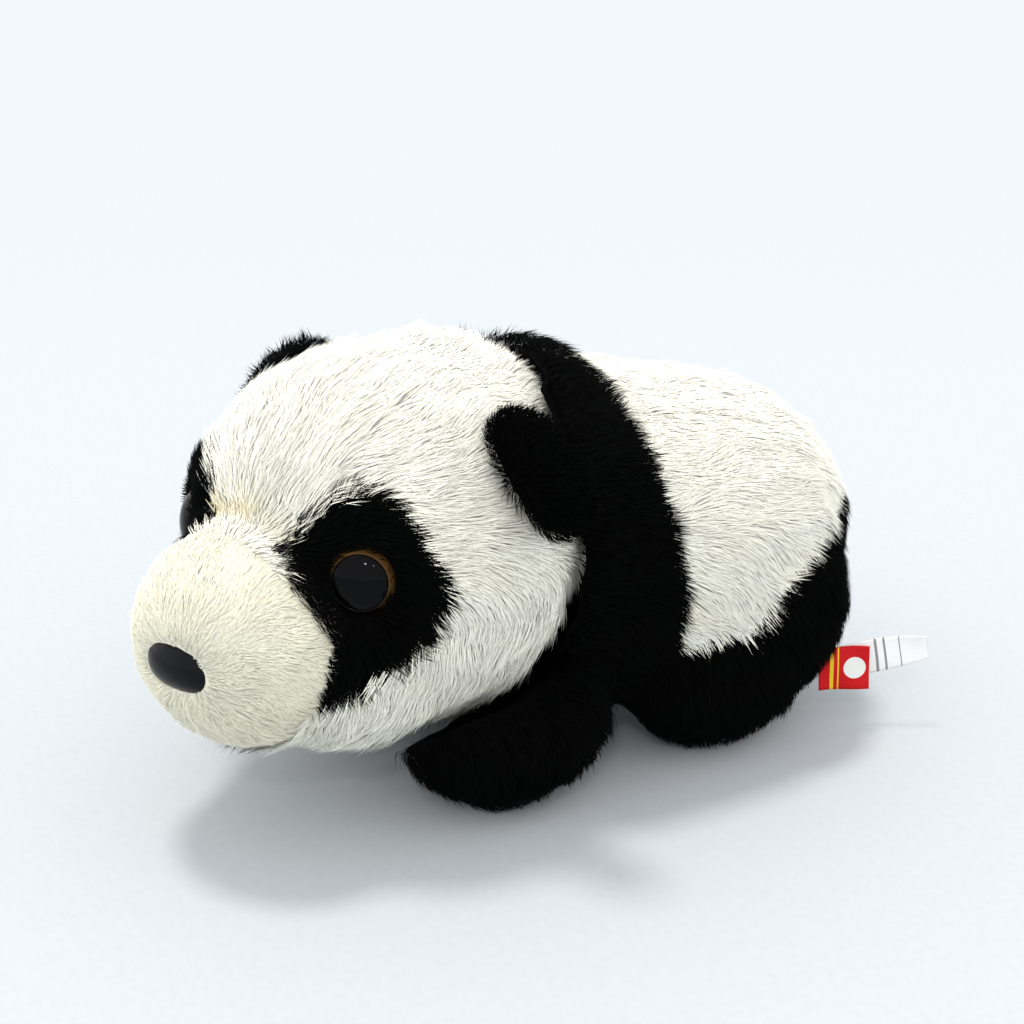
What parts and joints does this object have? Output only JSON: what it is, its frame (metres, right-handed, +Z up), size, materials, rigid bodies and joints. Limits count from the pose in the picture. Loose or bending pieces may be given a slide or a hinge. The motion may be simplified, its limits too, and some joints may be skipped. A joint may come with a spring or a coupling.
{
  "type": "plush panda",
  "caption": "Small stuffed panda lying on four stub legs, with a turned head, plastic eyes and nose, and sewn satin labels.",
  "frame": {"origin": "middle of the footprint, on the surface that the toy rests on", "axes": "-Y is where the body faces, +X its left side, +Z up"},
  "size_m": [0.1385, 0.2373, 0.1253],
  "materials": {
    "fibrefill": "loose matte fibre",
    "white_plush": "soft long pile, warm white",
    "cream_plush": "short dense pile, cream",
    "black_plush": "soft long pile, near black",
    "amber_lens": "clear amber, polished",
    "pupil_plastic": "black, polished",
    "nose_plastic": "black, satin",
    "washer_plastic": "white, moulded",
    "red_satin": "woven satin ribbon",
    "white_satin": "woven satin ribbon"
  },
  "bodies": {
    "torso": {"torso_stuffing": "fibrefill", "shoulder_panel_left": "black_plush", "shoulder_panel_right": "black_plush", "rump_panel_left": "white_plush", "rump_panel_right": "white_plush", "haunch_panel_left": "black_plush", "haunch_panel_right": "black_plush", "chest_panel": "black_plush", "belly_panel": "white_plush"},
    "neck": {"neck_stuffing": "fibrefill"},
    "head": {"head_stuffing": "fibrefill", "muzzle_stuffing": "fibrefill", "forehead_panel": "white_plush", "cheek_panel_left": "white_plush", "cheek_panel_right": "white_plush", "chin_panel": "white_plush", "muzzle_panel_left": "cream_plush", "muzzle_panel_right": "cream_plush", "eye_patch_left": "black_plush", "eye_patch_right": "black_plush", "eye_lens_left": "amber_lens", "eye_lens_right": "amber_lens", "eye_pupil_left": "pupil_plastic", "eye_pupil_right": "pupil_plastic", "eye_washer_left": "washer_plastic", "eye_washer_right": "washer_plastic", "nose": "nose_plastic", "nose_washer": "washer_plastic"},
    "ear_left": {"ear_front_left": "black_plush", "ear_back_left": "black_plush"},
    "ear_right": {"ear_front_right": "black_plush", "ear_back_right": "black_plush"},
    "foreleg_left": {"foreleg_stuffing_left": "fibrefill", "foreleg_cover_left": "black_plush", "foreleg_sole_left": "black_plush"},
    "foreleg_right": {"foreleg_stuffing_right": "fibrefill", "foreleg_cover_right": "black_plush", "foreleg_sole_right": "black_plush"},
    "hindleg_left": {"hindleg_stuffing_left": "fibrefill", "hindleg_cover_left": "black_plush", "hindleg_sole_left": "black_plush"},
    "hindleg_right": {"hindleg_stuffing_right": "fibrefill", "hindleg_cover_right": "black_plush", "hindleg_sole_right": "black_plush"},
    "tail": {"tail_cover": "white_plush"},
    "labels": {"red_label": "red_satin", "care_label": "white_satin"}
  },
  "joints": [
    {"name": "head_turn", "type": "hinge", "parent": "torso", "child": "neck", "pos_m": [0, -0.0435, 0.071], "axis": [0, 0, 1], "range_deg": [-8, 8], "stiffness_Nm_per_rad": 0.8},
    {"name": "head_nod", "type": "hinge", "parent": "neck", "child": "head", "pos_m": [0, -0.0435, 0.071], "axis": [0.9483, 0.3173, 0], "range_deg": [-8, 8], "stiffness_Nm_per_rad": 0.8},
    {"name": "ear_left_bend", "type": "hinge", "parent": "head", "child": "ear_left", "pos_m": [0.04902, -0.02991, 0.09692], "axis": [0.4178, 0.3475, -0.8395], "range_deg": [-15, 15], "stiffness_Nm_per_rad": 0.03},
    {"name": "ear_right_bend", "type": "hinge", "parent": "head", "child": "ear_right", "pos_m": [-0.05102, -0.04662, 0.09593], "axis": [-0.3514, -0.6751, -0.6486], "range_deg": [-15, 15], "stiffness_Nm_per_rad": 0.03},
    {"name": "foreleg_left_swing", "type": "hinge", "parent": "torso", "child": "foreleg_left", "pos_m": [0.035, -0.0245, 0.022], "axis": [1, 0, 0], "range_deg": [-8, 8], "stiffness_Nm_per_rad": 1},
    {"name": "foreleg_right_swing", "type": "hinge", "parent": "torso", "child": "foreleg_right", "pos_m": [-0.035, -0.0245, 0.022], "axis": [1, 0, 0], "range_deg": [-8, 8], "stiffness_Nm_per_rad": 1},
    {"name": "hindleg_left_swing", "type": "hinge", "parent": "torso", "child": "hindleg_left", "pos_m": [0.036, 0.045, 0.024], "axis": [1, 0, 0], "range_deg": [-8, 8], "stiffness_Nm_per_rad": 1},
    {"name": "hindleg_right_swing", "type": "hinge", "parent": "torso", "child": "hindleg_right", "pos_m": [-0.036, 0.045, 0.024], "axis": [1, 0, 0], "range_deg": [-8, 8], "stiffness_Nm_per_rad": 1},
    {"name": "tail_bend", "type": "hinge", "parent": "torso", "child": "tail", "pos_m": [0, 0.1055, 0.054], "axis": [1, 0, 0], "range_deg": [-12, 12], "stiffness_Nm_per_rad": 0.03},
    {"name": "labels_flap", "type": "hinge", "parent": "torso", "child": "labels", "pos_m": [0.0476, 0.0763, 0.0186], "axis": [0, 0, 1], "range_deg": [-40, 15], "stiffness_Nm_per_rad": 0.004}
  ]
}
